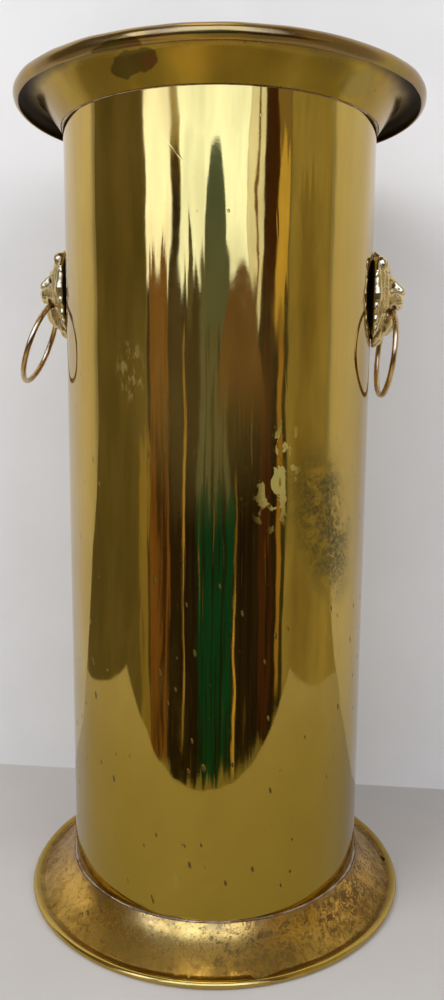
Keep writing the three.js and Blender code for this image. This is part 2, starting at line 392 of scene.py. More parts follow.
def polished_brass():
    n = Nodes("polished_brass")
    around = n.around()
    sheet = n.place(around, 0.0, n.z)

    cloud = n.noise(9.0, 3.0, 0.5)
    colour = n.blend(n.band(cloud, 0.35, 0.7), BRASS, BRASS_DEEP)
    # Darker towards the bottom: painted shade, for the dimmer reflection of the floor in front
    colour = n.blend(n.band(n.z, 0.22, 0.09, 0.0, 0.8), colour, rgb(0.37, 0.25, 0.028))
    smear = n.noise(14.0, 5.0, 0.6, n.place(n.times(around, 1.6), 3.0, n.times(n.z, 0.5)))
    smears = n.band(smear, 0.5, 0.72)
    roughness = n.blend_value(smears, 0.035, 0.085)
    roughness = n.plus(roughness, n.band(n.noise(220.0, 3.0), 0.3, 0.8, 0.0, 0.025))

    low = n.band(n.z, 0.3, 0.06)
    speck = pits(n, 95.0, 0.13, 0.80, n.place(n.times(around, 1.25), 0.0, n.z))
    speck = n.times(speck, n.band(n.noise(11.0, 2.0), 0.42, 0.56))
    speck = n.times(speck, n.plus(n.times(low, 0.75), 0.25))
    slant = n.plus(n.times(around, 1.7), n.times(n.z, 0.3))
    for scale, size, threshold in ((66.0, 0.13, 0.55), (110.0, 0.15, 0.8)):
        big = pits(n, scale, size, threshold, n.place(slant, 0.04, n.times(n.z, 0.7)))
        speck = n.most(speck, n.times(big, n.band(n.z, 0.36, 0.16)))
    lines = scratches(n, around, 1.0, 1.0)

    rag = n.noise(62.0, 7.0, 0.75, sheet, 0.5)
    crumbs = n.band(n.noise(420.0, 4.0, 0.7, sheet), 0.36, 0.6, 0.45, 1.0)
    tarnish = n.times(n.spot(around, TARNISH_AT, 54, 118, 18), n.band(rag, 0.38, 0.53, 0.2, 1.0))
    tarnish = n.times(tarnish, crumbs)
    halo = n.times(n.spot(around, TARNISH_AT, 80, 130, 16), n.band(rag, 0.36, 0.66))
    drip_place = n.place(n.times(around, 1.4), 7.3, n.times(n.z, 0.8))
    drip_rag = n.noise(84.0, 3.0, 0.5, drip_place, 0.9)
    drips = n.times(n.spot(around, DRIPS_AT, 30, 80, -10), n.band(drip_rag, 0.53, 0.57))
    scuff_rag = n.noise(120.0, 4.0, 0.7, n.place(n.times(around, 2.5), 9.0, n.z))
    scuffs = n.times(n.spot(around, SCUFFS_AT, 24, 44), n.band(scuff_rag, 0.5, 0.62))

    # Each mark: how much it covers, its colour, and how much rougher it is
    marks = [
        (halo, 0.55, rgb(0.33, 0.27, 0.08), 0.12),
        (tarnish, 0.9, rgb(0.1, 0.075, 0.028), 0.3),
        (drips, 0.85, rgb(0.45, 0.39, 0.1), 0.32),
        (scuffs, 0.3, rgb(0.5, 0.42, 0.22), 0.14),
        (speck, 0.9, rgb(0.06, 0.035, 0.012), 0.4),
        (lines, 0.15, BRASS_PALE, 0.05),
    ]
    for mark, cover, tone, rougher in marks:
        colour = n.blend(n.times(mark, cover), colour, tone)
        roughness = n.plus(roughness, n.times(mark, rougher))
    haze = n.plus(n.times(smears, 0.05), n.times(scuffs, 0.25))
    haze = n.plus(haze, n.times(n.spot(around, HAZE_AT, 110, 190), 0.09))
    dull = n.most(n.times(drips, 0.55), n.times(speck, 0.3))
    dull = n.most(dull, haze)
    metallic = n.minus(1.0, dull)

    grain = n.noise(900.0, 2.0, 0.5)
    normal = n.bump(grain, 0.00002, 0.12)
    dips = n.minus(1.0, n.most(speck, n.times(lines, 0.1)))
    normal = n.bump(dips, 0.00012, 0.6, normal)
    return n.finish(colour, roughness, metallic, normal)


def satin_brass():
    n = Nodes("satin_brass")
    channel_oxide_and_shade = n.add("ShaderNodeAttribute", attribute_name="channel_oxide_and_shade").outputs["Fac"]
    radius = n.distance(n.x, n.y)
    around = n.around()
    stain = n.noise(28.0, 6.0, 0.62, n.place(around, 2.0, n.z), 0.4)
    cloud = n.noise(13.0, 4.0, 0.6)
    rag = n.noise(75.0, 3.0, 0.5)
    colour = n.blend(n.band(cloud, 0.35, 0.68), rgb(0.42, 0.27, 0.035), rgb(0.32, 0.195, 0.024))
    colour = n.blend(n.band(stain, 0.52, 0.72, 0.0, 0.6), colour, rgb(0.25, 0.175, 0.045))
    brim = n.times(n.band(radius, 0.1175, 0.1212), n.band(stain, 0.35, 0.62, 0.3, 0.8))
    colour = n.blend(brim, colour, rgb(0.29, 0.185, 0.085))
    # Painted reflections of dark room shapes, and stains, as darker patches on the collar
    for at, wide, tall, tone in REFLECTIONS_AND_STAINS:
        inside = n.spot(around, at, wide, tall, 8)
        reach = n.plus(inside, n.uneven(rag, 1.9))
        reach = n.times(n.band(reach, 0.3, 0.42, 0.0, 0.8), n.band(inside, 0.02, 0.1))
        colour = n.blend(reach, colour, rgb(*tone))
    # Painted warm reflection: a coppery glow on the collar's front
    colour = n.blend(n.times(n.spot(around, PAINTED_GLOW_AT, 44, 18), 0.35), colour, rgb(0.6, 0.34, 0.04))
    speck = n.times(pits(n, 120.0, 0.14, 0.82), n.band(stain, 0.42, 0.58))
    colour = n.blend(n.times(speck, 0.8), colour, OXIDE)
    # Near black in the channel under the brim: unpolished oxide and painted shade
    deep = n.band(n.plus(channel_oxide_and_shade, n.uneven(stain, 0.4)), 0.2, 0.95)
    colour = n.blend(n.times(deep, 0.93), colour, rgb(0.035, 0.026, 0.02))
    spin = n.noise(6.0, 3.0, 0.6, n.place(0.0, 0.0, n.times(n.z, 260.0)))
    roughness = n.band(stain, 0.3, 0.75, 0.12, 0.27)
    roughness = n.plus(roughness, n.times(spin, 0.04))
    roughness = n.plus(roughness, n.times(speck, 0.3))
    roughness = n.plus(roughness, n.times(deep, 0.4))
    normal = n.bump(spin, 0.00002, 0.25)
    normal = n.bump(n.minus(1.0, speck), 0.0001, 0.5, normal)
    return n.finish(colour, roughness, n.minus(1.0, n.times(deep, 0.6)), normal)


def tarnished_brass():
    n = Nodes("tarnished_brass")
    radius = n.distance(n.x, n.y)
    rim = n.band(radius, 0.1198, 0.1222)
    mottle = n.noise(52.0, 8.0, 0.72, distortion=0.35)
    patch = n.noise(11.0, 4.0, 0.6)
    grit = n.noise(520.0, 5.0, 0.72)
    marks = n.noise(270.0, 4.0, 0.7, n.stretched((1, 0.7, 1)), 0.8)

    colour = n.blend(n.band(patch, 0.34, 0.66), rgb(0.63, 0.38, 0.07), rgb(0.57, 0.305, 0.055))
    colour = n.blend(n.band(mottle, 0.44, 0.64, 0.0, 0.7), colour, rgb(0.33, 0.18, 0.03))
    worn = n.plus(n.band(n.x, -0.02, 0.07, 0.0, 0.05), n.uneven(patch, 0.25))
    dark = n.band(n.plus(grit, worn), 0.54, 0.64)
    dark = n.times(dark, n.band(mottle, 0.34, 0.54, 0.25, 1.0))
    marks = n.times(n.band(n.plus(marks, worn), 0.57, 0.61), n.band(mottle, 0.38, 0.5, 0.15, 1.0))
    dark = n.most(n.times(dark, 0.8), n.times(marks, 0.85))
    dark = n.times(dark, n.blend_value(rim, 1.0, 0.15))
    colour = n.blend(dark, colour, rgb(0.085, 0.045, 0.01))
    bright = n.times(n.band(grit, 0.5, 0.36), n.band(patch, 0.5, 0.36))
    colour = n.blend(n.times(bright, 0.7), colour, BRASS_PALE)
    green = n.times(n.band(n.noise(60.0, 3.0, 0.5, n.stretched((1, 1, 1.7))), 0.68, 0.76), 0.6)
    colour = n.blend(green, colour, VERDIGRIS)
    near_joint = n.times(n.band(radius, 0.1006, 0.0972), n.band(mottle, 0.45, 0.56))
    colour = n.blend(n.times(near_joint, 0.7), colour, rgb(0.34, 0.2, 0.06))
    # Darker in the valley before the bead: tarnish and painted shade
    valley = n.times(n.band(radius, 0.103, 0.115), n.band(radius, 0.1222, 0.1208))
    valley = n.times(valley, n.band(mottle, 0.3, 0.6, 0.35, 0.9))
    colour = n.blend(n.times(valley, 0.8), colour, rgb(0.22, 0.125, 0.018))
    colour = n.blend(n.times(rim, 0.9), colour, n.blend(n.band(mottle, 0.45, 0.7), BRASS, BRASS_DEEP))

    roughness = n.band(mottle, 0.35, 0.7, 0.19, 0.34)
    roughness = n.plus(roughness, n.times(dark, 0.2))
    roughness = n.plus(roughness, n.times(valley, 0.12))
    roughness = n.blend_value(rim, roughness, 0.13)
    height = n.minus(n.times(mottle, 0.6), n.times(dark, 0.35))
    roughened = n.times(height, n.blend_value(rim, 1.0, 0.25))
    normal = n.bump(roughened, 0.0004, 0.2)
    metallic = n.minus(1.0, n.times(n.most(dark, green), 0.15))
    return n.finish(colour, roughness, metallic, normal)


def cast_brass():
    n = Nodes("cast_brass")
    hollow = n.add("ShaderNodeAttribute", attribute_name="hollow").outputs["Fac"]
    mottle = n.noise(160.0, 5.0, 0.65)
    grime = n.plus(hollow, n.uneven(mottle, 0.35))
    colour = n.blend(n.band(mottle, 0.3, 0.75), rgb(0.7, 0.54, 0.25), rgb(0.58, 0.42, 0.16))
    colour = n.blend(n.band(grime, 0.3, 0.85, 0.0, 0.92), colour, rgb(0.1, 0.062, 0.026))
    colour = n.blend(n.band(hollow, -0.12, -0.45, 0.0, 0.6), colour, rgb(0.86, 0.73, 0.44))
    roughness = n.band(grime, -0.3, 0.8, 0.17, 0.5)
    roughness = n.plus(roughness, n.times(mottle, 0.08))
    grain = n.noise(1500.0, 4.0, 0.7)
    normal = n.bump(grain, 0.00012, 0.35)
    return n.finish(colour, roughness, 1.0, normal)


def bronze_wire():
    n = Nodes("bronze_wire")
    cloud = n.noise(90.0, 5.0, 0.6)
    colour = n.blend(n.band(cloud, 0.38, 0.66), rgb(0.66, 0.48, 0.23), rgb(0.48, 0.3, 0.13))
    worn = n.noise(420.0, 3.0, 0.6)
    colour = n.blend(n.band(worn, 0.6, 0.75, 0.0, 0.5), colour, BRASS_PALE)
    return n.finish(colour, n.band(cloud, 0.35, 0.7, 0.16, 0.3), 1.0, n.bump(worn, 0.00005, 0.3))


def plain_brass():
    n = Nodes("plain_brass")
    cloud = n.noise(30.0, 6.0, 0.65)
    colour = n.blend(n.band(cloud, 0.35, 0.7), rgb(0.46, 0.33, 0.12), rgb(0.27, 0.17, 0.06))
    colour = n.blend(n.times(pits(n, 260.0, 0.2, 0.8), 0.7), colour, OXIDE)
    grain = n.bump(n.noise(700.0, 4.0, 0.7), 0.0001, 0.3)
    return n.finish(colour, n.band(cloud, 0.3, 0.7, 0.3, 0.5), 1.0, grain)


def soft_solder():
    n = Nodes("soft_solder")
    cloud = n.noise(60.0, 5.0, 0.65)
    colour = n.blend(n.band(cloud, 0.4, 0.62), rgb(0.5, 0.41, 0.32), rgb(0.26, 0.16, 0.09))
    grain = n.bump(n.noise(520.0, 4.0, 0.7), 0.00015, 0.5)
    return n.finish(colour, n.band(cloud, 0.35, 0.65, 0.2, 0.42), 1.0, grain)


def iron_wire():
    n = Nodes("iron_wire")
    rust = n.noise(120.0, 6.0, 0.7)
    colour = n.blend(n.band(rust, 0.45, 0.62), rgb(0.2, 0.18, 0.16), rgb(0.17, 0.07, 0.03))
    bare = n.band(rust, 0.45, 0.65, 1.0, 0.3)
    return n.finish(colour, n.band(rust, 0.4, 0.65, 0.4, 0.75), bare, n.bump(rust, 0.0002, 0.5))


# ---------- turned sheet pieces ----------


def tube_warp(radius, height, angles):
    """Planishing marks and handling dents, and a lap seam at the back."""
    soft = 0.16 * ripple(11, angles, height, (2, 7), (260, 700), 7)
    fine = 0.075 * ripple(12, angles, height, (8, 22), (70, 240), 14)
    tiny = 0.010 * ripple(13, angles, height, (30, 64), (24, 90), 16)
    moved = soft + fine + tiny
    for angle, middle, size, depth in DENTS:
        across = (np.mod(angles - math.radians(angle) + np.pi, 2 * np.pi) - np.pi) * TUBE_RADIUS
        reach = np.hypot(across * 1.3, height - middle) / size
        moved -= depth * np.exp(-(reach**2) * 3)
    held = np.clip((height - FOOT_TOP) / 25, 0, 1) * np.clip((COLLAR_FOOT - height) / 25, 0, 1)
    moved *= held * held * (3 - 2 * held)
    seam = (angles - np.pi) * TUBE_RADIUS
    lap = np.clip((4.2 - seam) / 0.3, 0, 1) * np.clip((seam + 4.6) / 1.2, 0, 1)
    outside = (radius > TUBE_RADIUS - 0.4) & (height > FOOT_TOP + 2) & (height < COLLAR_FOOT - 2)
    moved = moved + np.where(outside, 0.75 * lap, 0)
    return radius + moved, height


def body_shell(material):
    profile = np.concatenate(
        [
            line((TUBE_RADIUS, TUBE_FOOT), (TUBE_RADIUS, TUBE_TOP), 240),
            line((TUBE_RADIUS - SHEET, TUBE_TOP), (TUBE_RADIUS - SHEET, TUBE_FOOT), 120),
        ]
    )
    points, faces = turn(profile, 480, tube_warp)
    make_piece("tube", points, faces, "stand", "body_shell", material)


def brim_warp(radius, height, angles):
    out = np.clip((radius - 100) / 24, 0, 1)
    rise = 0.3 * ripple(21, angles, radius, (2, 5), (300, 600), 4)
    wobble = 0.14 * ripple(22, angles, height, (5, 14), (200, 400), 6)
    hammer = 0.05 * ripple(23, angles, radius, (12, 34), (18, 50), 12)
    return radius + (wobble + hammer) * out, height + (rise - 0.3 + hammer) * out


def top_collar(material):
    inside = BRIM_ROLL - SHEET
    sin, cos = math.sin(COLLAR_ANGLE), math.cos(COLLAR_ANGLE)
    corner = np.array([TUBE_RADIUS + GAP + SHEET, COLLAR_FOOT])
    into = np.array([-cos, sin])
    across, rise = BRIM_CENTRE[0] - corner[0], BRIM_CENTRE[1] + inside - corner[1]
    bend = (across * cos - rise * sin) / (1 - sin)
    bend_centre = (BRIM_CENTRE[0], BRIM_CENTRE[1] + inside - bend)
    start, top = math.pi - COLLAR_ANGLE, math.pi / 2
    bend_start = arc(bend_centre, bend, start, top, 1)[0]
    bend_start_top = arc(bend_centre, bend + SHEET, start, top, 1)[0]
    lip = arc(BRIM_CENTRE, BRIM_ROLL - SHEET / 2, BRIM_LIP_ANGLE, top, 1)[0]
    cone_steps, bend_steps, roll_steps = 10, 14, 18
    profile = np.concatenate(
        [
            line(corner, bend_start, cone_steps)[:-1],
            arc(bend_centre, bend, start, top, bend_steps)[:-1],
            arc(BRIM_CENTRE, inside, top, BRIM_LIP_ANGLE, roll_steps),
            arc(lip, SHEET / 2, BRIM_LIP_ANGLE - math.pi, BRIM_LIP_ANGLE, 6)[1:-1],
            arc(BRIM_CENTRE, BRIM_ROLL, BRIM_LIP_ANGLE, top, 20)[:-1],
            arc(bend_centre, bend + SHEET, top, start, bend_steps)[:-1],
            line(bend_start_top, corner + into * SHEET, cone_steps),
        ]
    )
    # Open to below, the channel behind the lip is darkened: unpolished oxide and painted shade under the
    # brim
    order = np.arange(len(profile))
    lip_start = cone_steps + bend_steps + roll_steps + 1
    darkening = np.clip((order - (cone_steps - 2)) / bend_steps, 0, 1)
    channel_oxide_and_shade = np.where(order < lip_start, darkening, 0)
    turns = 480
    points, faces = turn(profile, turns, brim_warp)
    piece = make_piece("collar", points, faces, "stand", "top_collar", material)
    shade_points(piece.data, "channel_oxide_and_shade", np.tile(channel_oxide_and_shade, turns))


def edge_opening(angles):
    """Where the rolled edge is bitten away, from 0 to 1: a long nick right of the front and small ones."""
    degrees = (np.degrees(angles) + 180) % 360 - 180
    nick = np.clip((degrees - 16.8) / 0.4, 0, 1) * np.clip((26 - degrees) / 8, 0, 1)
    for at, wide, deep in ((-0.5, 0.3, 0.5), (-4.2, 0.4, 0.35), (-131, 4, 0.7), (98, 1.5, 0.5)):
        nick = nick + deep * np.exp(-(((degrees - at) / wide) ** 2))
    return np.clip(nick + 0.02 + 0.02 * np.sin(9 * angles) + 0.012 * np.sin(31 * angles), 0, 1)


def rolled_edge(face, closed):
    """The sheet's outline around the rim wire: over its top, to the end of the lip and back inside."""
    inside = BEAD_ROLL - SHEET
    under, begin = math.radians(285), math.radians(BEAD_BEGIN)
    if not closed:
        stop = math.radians(360 + 84)
        outer = arc(BEAD_CENTRE, BEAD_ROLL, under, stop, 40)
        inner = arc(BEAD_CENTRE, inside, stop, begin, 34)
        return np.concatenate([outer, line(outer[-1], inner[0], 12)[1:-1], inner[:-1]])
    stop = math.radians(360 + 116)
    outer = arc(BEAD_CENTRE, BEAD_ROLL, under, stop, 40)
    leave = np.array([-math.sin(stop), math.cos(stop)])
    tip = face[TOUCH_STEP]
    along = face[TOUCH_STEP - 1] - face[TOUCH_STEP + 1]
    along /= np.linalg.norm(along)
    proud = np.array([along[1], -along[0]]) * np.sign(along[1])
    handles = [outer[-1], outer[-1] + leave * 0.9, tip - along * 0.7, tip + proud * 0.1]
    valley = bezier(handles, np.linspace(0, 1, 9))
    back = face[[TOUCH_STEP + 1, TOUCH_STEP + 3, TOUCH_STEP + 5]] + proud * 0.03
    inner = arc(BEAD_CENTRE, inside, math.radians(360 + 178), begin, 34)
    return np.concatenate([outer, valley[1:], back, inner[:-1]])


def base_flange(material):
    inside = BEAD_ROLL - SHEET
    begin = math.radians(BEAD_BEGIN)
    start = np.array([TUBE_RADIUS + GAP + SHEET, FOOT_TOP])
    tuck = arc(BEAD_CENTRE, inside, begin, 0, 1)[0]
    sweep = [start, (100.6, 14.8), (tuck[0] - 9.2, tuck[1] + 5.2), tuck]
    places = np.linspace(0, 1, FACE_STEPS + 1)
    face, slope = bezier(sweep, places), bezier_slope(sweep, places)
    under = face + SHEET * np.stack([slope[:, 1], -slope[:, 0]], axis=1)
    outlines = []
    for closed in (True, False):
        wrap = arc(BEAD_CENTRE, BEAD_ROLL, begin, math.radians(255), 3)
        outlines.append(np.concatenate([under[:-1], wrap, rolled_edge(face, closed), face[::-1]]))
    shut, bitten = outlines

    def warp(radius, height, angles):
        turns = len(angles) // len(shut)
        opening = edge_opening(angles)
        radius = radius + np.tile((bitten - shut)[:, 0], turns) * opening
        height = height + np.tile((bitten - shut)[:, 1], turns) * opening
        out = np.clip((radius - 98) / 8, 0, 1) * np.clip((height - 0.6) / 3, 0, 1)
        swell = 0.22 * ripple(31, angles, radius, (2, 6), (60, 160), 6)
        dints = 0.1 * ripple(32, angles, radius, (9, 34), (14, 50), 12)
        wander = 0.12 * ripple(33, angles, height, (2, 5), (300, 500), 4)
        return radius + wander, height + (swell + dints) * out

    points, faces = turn(shut, 720, warp)
    make_piece("foot", points, faces, "stand", "base_flange", material)


def bottom_pan(material):
    edge = TUBE_RADIUS - SHEET - GAP
    bend = 3.0
    centre = (edge - bend, PAN_FLOOR + bend)
    down, out = -math.pi / 2, 0.0
    profile = np.concatenate(
        [
            line((0, PAN_FLOOR), (edge - bend, PAN_FLOOR), 24)[:-1],
            arc(centre, bend, down, out, 8),
            [(edge, PAN_EDGE), (edge - SHEET, PAN_EDGE)],
            arc(centre, bend - SHEET, out, down, 8),
            line((edge - bend, PAN_FLOOR + SHEET), (0, PAN_FLOOR + SHEET), 24)[1:],
        ]
    )

    def dish(radius, height, angles):
        inner = np.clip((edge - bend - radius) / 30, 0, 1)
        swell = 0.25 * ripple(41, angles, radius, (1, 4), (60, 140), 5)
        return radius, height + swell * inner * (radius > 1)

    points, faces = turn(profile, 240, dish)
    make_piece("pan", points, faces, "stand", "bottom_pan", material)


def solder_line(name, node, wall, height, side, size, seed, material):
    """A hand-run fillet in the corner between a wall and an edge, uneven along its length."""
    reach, rise = size
    corner = np.array([wall + side * GAP * 0.3, height])
    out = corner + (side * reach, 0)
    up = corner + (0, rise)
    hollow = corner + (side * reach * 0.4, rise * 0.4)
    profile = np.array([corner, out, (out + hollow) / 2, hollow, (up + hollow) / 2, up])
    if side * rise < 0:
        profile = profile[::-1]

    def uneven(radius, heights, angles):
        swell = 1 + 0.22 * ripple(seed, angles, heights, (9, 50), (50, 90), 16)
        swell += 0.06 * ripple(seed + 100, angles, heights, (70, 150), (50, 90), 16)
        return wall + (radius - wall) * np.clip(swell, 0.5, 1.2), height + (heights - height) * swell

    points, faces = turn(profile, 720, uneven)
    make_piece(name, points, faces, "stand", node, material)


# ---------- lion masks ----------
# In a mask's own frame X points out of the wall, Y across the face and Z up. Y is folded at the middle,
# so one half is shaped and mirrored.

SCREW_DEPTH = 6.0
SCREW_HEIGHTS = (13, -19)
RING_OFFSET = 12.2
RING_DROP = 8.5
RING_LEAN = {"right": -5.0, "left": 21.0}
SWING = (-11.5, 167.5)
MOUTH_CLEARANCE = 0.4

CLAY_STEP = 0.32
CLAY_LOW = np.array([-1.28, -20.8, -32.0])
CLAY_HIGH = np.array([22.4, 20.8, 29.44])


class Clay:
    """A block of distances that shapes are added to and carved from."""

    def __init__(self):
        self.step = CLAY_STEP
        counts = np.round((CLAY_HIGH - CLAY_LOW) / self.step).astype(int) + 1
        self.axes = [CLAY_LOW[i] + self.step * np.arange(counts[i]) for i in range(3)]
        self.field = np.full(counts, 6.0)

    def copy(self):
        other = Clay()
        other.field = self.field.copy()
        return other

    def window(self, low, high):
        """The part of the block between two corners, and its coordinates."""
        slices = tuple(slice(*np.searchsorted(axis, (a, b))) for axis, a, b in zip(self.axes, low, high))
        x, y, z = (axis[s] for axis, s in zip(self.axes, slices))
        return slices, x[:, None, None], y[None, :, None], z[None, None, :]

    def shape(self, low, high, distance, soft, carve):
        """Adds or carves a shape, and its mirror image unless it lies in the middle."""
        reach = max(2.0, 2 * soft)
        low, high = low - reach, high + reach
        for side in (1, -1):
            across = sorted((side * low[1], side * high[1]))
            slices, x, y, z = self.window((low[0], across[0], low[2]), (high[0], across[1], high[2]))
            new = distance(x, side * y, z)
            if carve:
                self.field[slices] = -soft_least(-self.field[slices], new, soft)
            else:
                self.field[slices] = soft_least(self.field[slices], new, soft)
            if abs(low[1] + high[1]) < 1e-9:
                break

    def ball(self, at, size, soft=0.8, tilt=0.0, carve=False):
        """An ellipsoid. tilt turns it about Y, nose down for positive degrees."""
        at, size = np.asarray(at, float), np.asarray(size, float) * np.ones(3)
        cos, sin = math.cos(math.radians(tilt)), math.sin(math.radians(tilt))

        def distance(x, y, z):
            dx, dz = x - at[0], z - at[2]
            u = (dx * cos - dz * sin) / size[0]
            w = (dx * sin + dz * cos) / size[2]
            v = (y - at[1]) / size[1]
            reach = np.sqrt(u * u + v * v + w * w) + 1e-9
            slope = np.sqrt((u / size[0]) ** 2 + (v / size[1]) ** 2 + (w / size[2]) ** 2) + 1e-9
            return reach * (reach - 1) / slope

        wide = size if tilt == 0 else np.array([max(size[0], size[2]), size[1], max(size[0], size[2])])
        self.shape(at - wide, at + wide, distance, soft, carve)

    def lock(self, points, radii, soft=0.5, carve=False):
        """A tapering strand along points, each with its own radius."""
        points = np.asarray(points, float)
        count = 3 * (len(points) - 1) + 1
        path = smooth_path(points, count)
        sizes = np.interp(np.linspace(0, 1, count), np.linspace(0, 1, len(radii)), radii)

        def distance(x, y, z):
            best = None
            for i in range(count - 1):
                a, b = path[i], path[i + 1]
                along = b - a
                length = along @ along + 1e-9
                px, py, pz = x - a[0], y - a[1], z - a[2]
                t = np.clip((px * along[0] + py * along[1] + pz * along[2]) / length, 0, 1)
                gap = np.sqrt((px - t * along[0]) ** 2 + (py - t * along[1]) ** 2 + (pz - t * along[2]) ** 2)
                gap = gap - (sizes[i] + t * (sizes[i + 1] - sizes[i]))
                best = gap if best is None else np.minimum(best, gap)
            return best

        thick = sizes.max()
        self.shape(path.min(0) - thick, path.max(0) + thick, distance, soft, carve)


def soft_least(a, b, soft):
    """The smaller of two distances, with a fillet of about soft where they are equal."""
    h = np.clip(0.5 + 0.5 * (b - a) / soft, 0, 1)
    return b + (a - b) * h - soft * h * (1 - h)


def smooth_path(points, count):
    """A Catmull-Rom curve through the points."""
    points = np.asarray(points, float)
    ends = np.concatenate([[2 * points[0] - points[1]], points, [2 * points[-1] - points[-2]]])
    place = np.linspace(0, len(points) - 1 - 1e-9, count)
    i = place.astype(int)
    t = (place - i)[:, None]
    p0, p1, p2, p3 = ends[i], ends[i + 1], ends[i + 2], ends[i + 3]
    square = 2 * p0 - 5 * p1 + 4 * p2 - p3
    cube = 3 * p1 - p0 - 3 * p2 + p3
    return 0.5 * (2 * p1 + (p2 - p0) * t + square * t**2 + cube * t**3)


def blurred(block, reach):
    """Mean over a cube of cells."""
    for axis in range(3):
        pad = [(0, 0)] * 3
        pad[axis] = (reach + 1, reach)
        total = np.cumsum(np.pad(block, pad, mode="edge"), axis=axis)
        ahead = np.take(total, range(2 * reach + 1, total.shape[axis]), axis=axis)
        behind = np.take(total, range(0, total.shape[axis] - 2 * reach - 1), axis=axis)
        block = (ahead - behind) / (2 * reach + 1)
    return block


def relaxed(points, faces):
    """Moves each point half way to the mean of its neighbours, which takes the grid's steps out."""
    total = np.zeros_like(points)
    count = np.zeros(len(points))
    for shift in (1, -1):
        np.add.at(total, faces, points[np.roll(faces, shift, axis=1)])
        np.add.at(count, faces, 1)
    return (points + total / count[:, None]) / 2


def skin(field, low, step):
    """Surface nets: one point in each cell that the surface crosses, and a quad across each crossed edge."""
    inside = field < 0
    cells = tuple(n - 1 for n in field.shape)
    corners = [(i, j, k) for i in (0, 1) for j in (0, 1) for k in (0, 1)]

    def corner(block, at):
        return block[tuple(slice(o, o + n) for o, n in zip(at, cells))]

    count = sum(corner(inside, at).astype(np.int8) for at in corners)
    mixed = (count > 0) & (count < 8)
    where = np.argwhere(mixed)
    numbers = np.full(cells, -1)
    numbers[mixed] = np.arange(len(where))
    total = np.zeros((len(where), 3))
    hits = np.zeros(len(where))
    for a in corners:
        for axis in range(3):
            if a[axis]:
                continue
            b = tuple(o + (i == axis) for i, o in enumerate(a))
            va, vb = corner(field, a)[mixed], corner(field, b)[mixed]
            cross = (va < 0) != (vb < 0)
            t = np.where(cross, va / np.where(cross, va - vb, 1), 0)
            at = np.array(a, float) * np.ones((len(where), 3))
            at[:, axis] += t
            total += at * cross[:, None]
            hits += cross
    points = low + step * (where + total / hits[:, None])
    faces = []
    for axis in range(3):
        u, v = (axis + 1) % 3, (axis + 2) % 3
        first = [slice(1, -1)] * 3
        first[axis] = slice(0, -1)
        second = list(first)
        second[axis] = slice(1, None)
        edge = inside[tuple(first)] != inside[tuple(second)]
        start = np.argwhere(edge)
        base = start.copy()
        base[:, u] += 1
        base[:, v] += 1
        outward = inside[tuple(first)][edge]
        ring = []
        for du, dv in ((0, 0), (-1, 0), (-1, -1), (0, -1)):
            cell = base.copy()
            cell[:, u] += du
            cell[:, v] += dv
            ring.append(numbers[tuple(cell.T)])
        quad = np.stack(ring, axis=1)
        faces.append(np.where(outward[:, None], quad, quad[:, ::-1]))
    return points, np.concatenate(faces), where


def mane(clay):
    """Waved locks that fall from the temples to the beard, in three layers from the wall outwards."""
    layers = [
        [
            (2.4, 9.0, 22.5), (2.2, 14.2, 15.5), (2.2, 15.6, 8.5),
            (2.4, 17.0, 1.0), (1.8, 15.2, -8.0), (1.6, 12.4, -16.0),
        ],
        [
            (4.4, 8.6, 18.5), (4.8, 12.4, 12.0), (4.6, 13.2, 4.0),
            (4.8, 14.2, -3.5), (4.0, 11.6, -11.0), (3.2, 9.4, -19.0),
        ],
        [
            (7.2, 7.0, 15.5), (7.6, 10.0, 9.5), (7.2, 11.0, 2.5),
            (6.8, 11.4, -4.5), (5.8, 8.8, -11.5), (4.6, 6.6, -18.0),
        ],
    ]
    thickness = [
        (1.3, 2.2, 2.6, 3.4, 2.5, 1.4),
        (2.0, 2.7, 2.4, 2.8, 2.3, 1.3),
        (1.8, 2.2, 2.0, 2.5, 2.0, 1.3),
    ]
    for path, radii in zip(layers, thickness):
        clay.lock(path, radii, soft=0.9)
    # Tips that break the outline
    clay.lock([(2.0, 12.0, 18.5), (2.2, 16.0, 14.0), (1.2, 18.0, 11.5)], (1.6, 1.9, 0.7), 0.6)
    clay.lock([(2.0, 14.6, 8.0), (2.0, 17.6, 5.5), (1.0, 19.2, 4.5)], (1.8, 1.7, 0.6), 0.6)
    clay.lock([(2.2, 16.0, -2.5), (1.8, 18.0, -6.0), (0.9, 18.6, -9.0)], (1.9, 1.6, 0.6), 0.6)
    clay.lock([(2.2, 13.6, -10.0), (1.8, 15.4, -14.0), (0.9, 15.4, -17.6)], (1.9, 1.6, 0.6), 0.6)
    clay.lock([(2.4, 10.6, -15.5), (2.0, 11.4, -20.0), (1.0, 10.4, -24.0)], (2.2, 1.8, 0.6), 0.6)


def strands(clay):
    """Fine combed lines that run along the locks."""
    slices, x, y, z = clay.window((-1, -21, -33), (11, 21, 30))
    across = np.abs(y)
    spread = np.sqrt(across**2 + (0.72 * (z - 1.0)) ** 2) - 0.9 * np.sin(0.42 * z + 0.6)
    wave = np.sin(5.4 * spread + 1.4 * np.sin(0.23 * z) + 0.5 * x)
    ease = np.clip((spread - 9.8) / 2.0, 0, 1) * np.clip((x - 1.6) / 2.2, 0, 1)
    clay.field[slices] += 0.15 * wave * ease * (0.6 + 0.4 * np.sin(0.9 * z + 0.7 * across))


